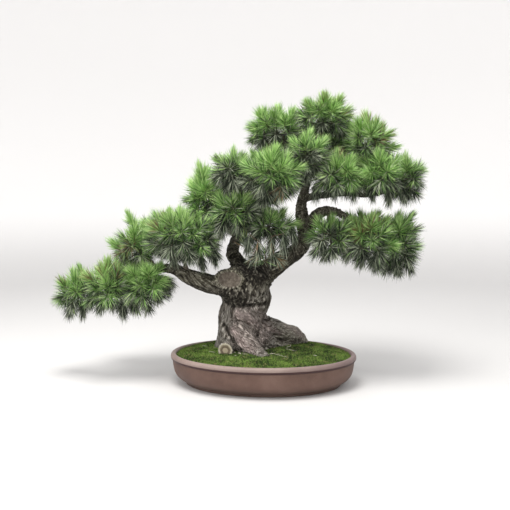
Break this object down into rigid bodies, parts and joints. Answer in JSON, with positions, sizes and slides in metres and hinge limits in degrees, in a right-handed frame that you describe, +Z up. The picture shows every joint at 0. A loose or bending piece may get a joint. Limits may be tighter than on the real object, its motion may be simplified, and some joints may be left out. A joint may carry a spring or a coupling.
{
  "type": "pine bonsai",
  "caption": "Pine bonsai with a thick leaning crown, standing with its mossy soil in a shallow oval tray pot.",
  "frame": {"origin": "centre of the flat underside of the pot", "axes": "+Z up, +X along the pot's long side towards the arching bough, -Y towards the front of the tree"},
  "size_m": [1.4171, 0.5963, 1.0848],
  "materials": {
    "pot": "satin taupe and pinkish brown glaze on clay, with a dark red-brown line under the lip",
    "moss_soil": "matt fine green moss on soil",
    "bark": "rough plated grey-brown bark",
    "needles": "satin green pine needles"
  },
  "bodies": {
    "root": {"bough_arch": "bark", "bough_centre": "bark", "bough_left": "bark", "bough_upper_right": "bark", "branch_apex_back": "bark", "branch_apex_left": "bark", "branch_apex_right": "bark", "branch_centre_back": "bark", "branch_centre_hang": "bark", "branch_centre_left": "bark", "branch_centre_low": "bark", "branch_crown_back": "bark", "branch_crown_front": "bark", "branch_crown_right": "bark", "branch_low_back": "bark", "branch_low_inner": "bark", "branch_low_right_back": "bark", "branch_low_right_inner": "bark", "branch_low_right_tip": "bark", "branch_low_tip": "bark", "branch_mid_back": "bark", "branch_mid_inner": "bark", "branch_mid_left": "bark", "branch_right_back": "bark", "branch_right_inner": "bark", "branch_right_mid": "bark", "branch_upper_left": "bark", "leader_lower": "bark", "leader_upper": "bark", "needles_apex": "needles", "needles_apex_back": "needles", "needles_apex_left": "needles", "needles_apex_right": "needles", "needles_centre_back": "needles", "needles_centre_hang": "needles", "needles_centre_left": "needles", "needles_centre_low": "needles", "needles_crown_back": "needles", "needles_crown_front": "needles", "needles_crown_left": "needles", "needles_crown_right": "needles", "needles_low_back": "needles", "needles_low_front": "needles", "needles_low_inner": "needles", "needles_low_right_back": "needles", "needles_low_right_inner": "needles", "needles_low_right_mid": "needles", "needles_low_right_tip": "needles", "needles_low_tip": "needles", "needles_mid_back": "needles", "needles_mid_inner": "needles", "needles_mid_left": "needles", "needles_right_back": "needles", "needles_right_inner": "needles", "needles_right_mid": "needles", "needles_right_tip": "needles", "needles_upper_left": "needles", "pot": "pot", "soil": "moss_soil", "trunk": "bark"}
  },
  "joints": []
}
